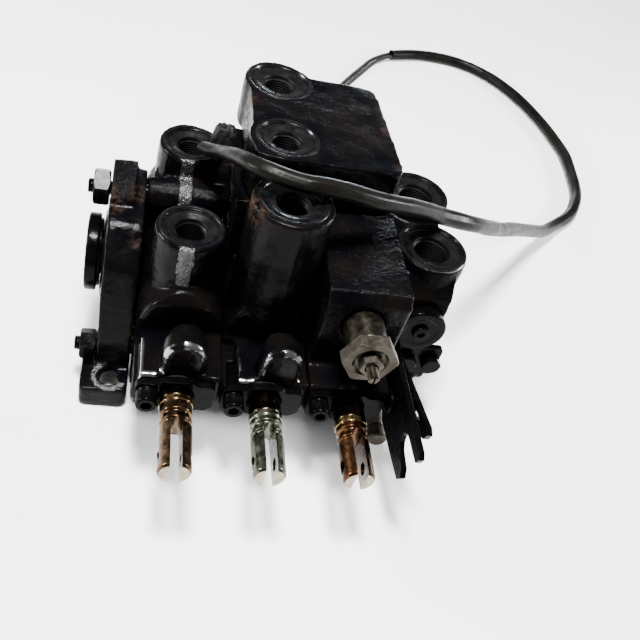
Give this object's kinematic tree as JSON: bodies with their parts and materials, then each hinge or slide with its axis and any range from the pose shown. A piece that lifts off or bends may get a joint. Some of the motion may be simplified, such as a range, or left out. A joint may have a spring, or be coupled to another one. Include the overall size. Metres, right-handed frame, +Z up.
{
  "type": "sectional directional control valve",
  "caption": "Hydraulic lever valve of bolted cast sections with shifting clevis spools, a relief valve, a raised port block, a fork lever and a loose wiring sleeve.",
  "frame": {"origin": "on the ground under the middle of the valve, the loose sleeve and wires left out", "axes": "+X along the stack from the end cover to the inlet section, +Y from the spool clevises to the spring caps, +Z up out of the ports"},
  "size_m": [0.4054, 0.5331, 0.1464],
  "materials": {
    "casting": "thick gloss black paint over rough casting",
    "black_steel": "gloss black paint",
    "spool_bronze": "ground steel with a bronze tint",
    "spool_green": "ground steel with a pale green tint",
    "spool_amber": "ground steel with an amber tint",
    "zinc": "dull zinc plate",
    "spring_steel": "oiled spring steel",
    "rubber": "matt",
    "sleeve": "limp dark grey sleeving",
    "brass": "machined"
  },
  "bodies": {
    "valve_stack": {"bracket_bolt_inner": "black_steel", "bracket_bolt_outer": "black_steel", "cable_sleeve": "sleeve", "connector_boot": "rubber", "drain_fitting": "zinc", "end_plug": "black_steel", "inlet_disc_plug": "black_steel", "inlet_disc_screw": "black_steel", "inlet_section_body": "casting", "left_end_cover": "casting", "lever_bracket": "black_steel", "pivot_pin": "black_steel", "pressure_switch": "brass", "raised_port_block": "casting", "relief_body": "zinc", "relief_spring": "spring_steel", "retainer_plate_1": "black_steel", "retainer_plate_2": "black_steel", "retainer_plate_3": "black_steel", "retainer_screw_1": "black_steel", "retainer_screw_2": "black_steel", "retainer_screw_3": "black_steel", "section_1_body": "casting", "section_2_body": "casting", "section_3_body": "casting", "spring_cap_1": "black_steel", "spring_cap_2": "black_steel", "spring_cap_3": "black_steel", "tie_nut_front_low": "black_steel", "tie_nut_rear_low": "black_steel", "tie_nut_rear_top": "black_steel", "tie_rod_front_low": "black_steel", "tie_rod_rear_low": "black_steel", "tie_rod_rear_top": "black_steel", "wiper_ring_1": "rubber", "wiper_ring_2": "rubber", "wiper_ring_3": "rubber", "wire_a": "rubber", "wire_b": "rubber"},
    "spool_1_assembly": {"spool_1": "spool_bronze", "spool_end_bolt_1": "black_steel", "spring_seat_1": "zinc", "centring_spring_1": "spring_steel"},
    "spool_2_assembly": {"spool_2": "spool_green", "spool_end_bolt_2": "black_steel", "spring_seat_2": "zinc", "centring_spring_2": "spring_steel"},
    "spool_3_assembly": {"spool_3": "spool_amber", "spool_end_bolt_3": "black_steel", "spring_seat_3": "zinc", "centring_spring_3": "spring_steel"},
    "fork_lever": {"fork_lever": "black_steel"},
    "relief_adjuster": {"relief_adjuster": "zinc"},
    "relief_lock_nut": {"relief_lock_nut": "zinc"},
    "relief_poppet": {"relief_poppet": "spring_steel"}
  },
  "joints": [
    {"name": "spool_1_shift", "type": "slide", "parent": "valve_stack", "child": "spool_1_assembly", "axis": [0, 1, 0], "range_m": [-0.007, 0.007], "stiffness_N_per_m": 8000},
    {"name": "spool_2_shift", "type": "slide", "parent": "valve_stack", "child": "spool_2_assembly", "axis": [0, 1, 0], "range_m": [-0.007, 0.007], "stiffness_N_per_m": 8000},
    {"name": "spool_3_shift", "type": "slide", "parent": "valve_stack", "child": "spool_3_assembly", "axis": [0, 1, 0], "range_m": [-0.007, 0.007], "stiffness_N_per_m": 8000},
    {"name": "fork_lever_swing", "type": "hinge", "parent": "valve_stack", "child": "fork_lever", "pos_m": [0.061, -0.0698, 0.05], "axis": [1, 0, 0], "range_deg": [-12, 12]},
    {"name": "relief_adjuster_turn", "type": "hinge", "parent": "valve_stack", "child": "relief_adjuster", "pos_m": [0.0355, -0.0828, 0.088], "axis": [0, -1, 0], "range_deg": [-180, 180]},
    {"name": "relief_lock_nut_turn", "type": "hinge", "parent": "valve_stack", "child": "relief_lock_nut", "pos_m": [0.0355, -0.0798, 0.088], "axis": [0, -1, 0], "continuous": true},
    {"name": "relief_poppet_lift", "type": "slide", "parent": "valve_stack", "child": "relief_poppet", "axis": [0, -1, 0], "range_m": [0, 0.0012], "stiffness_N_per_m": 6000}
  ]
}
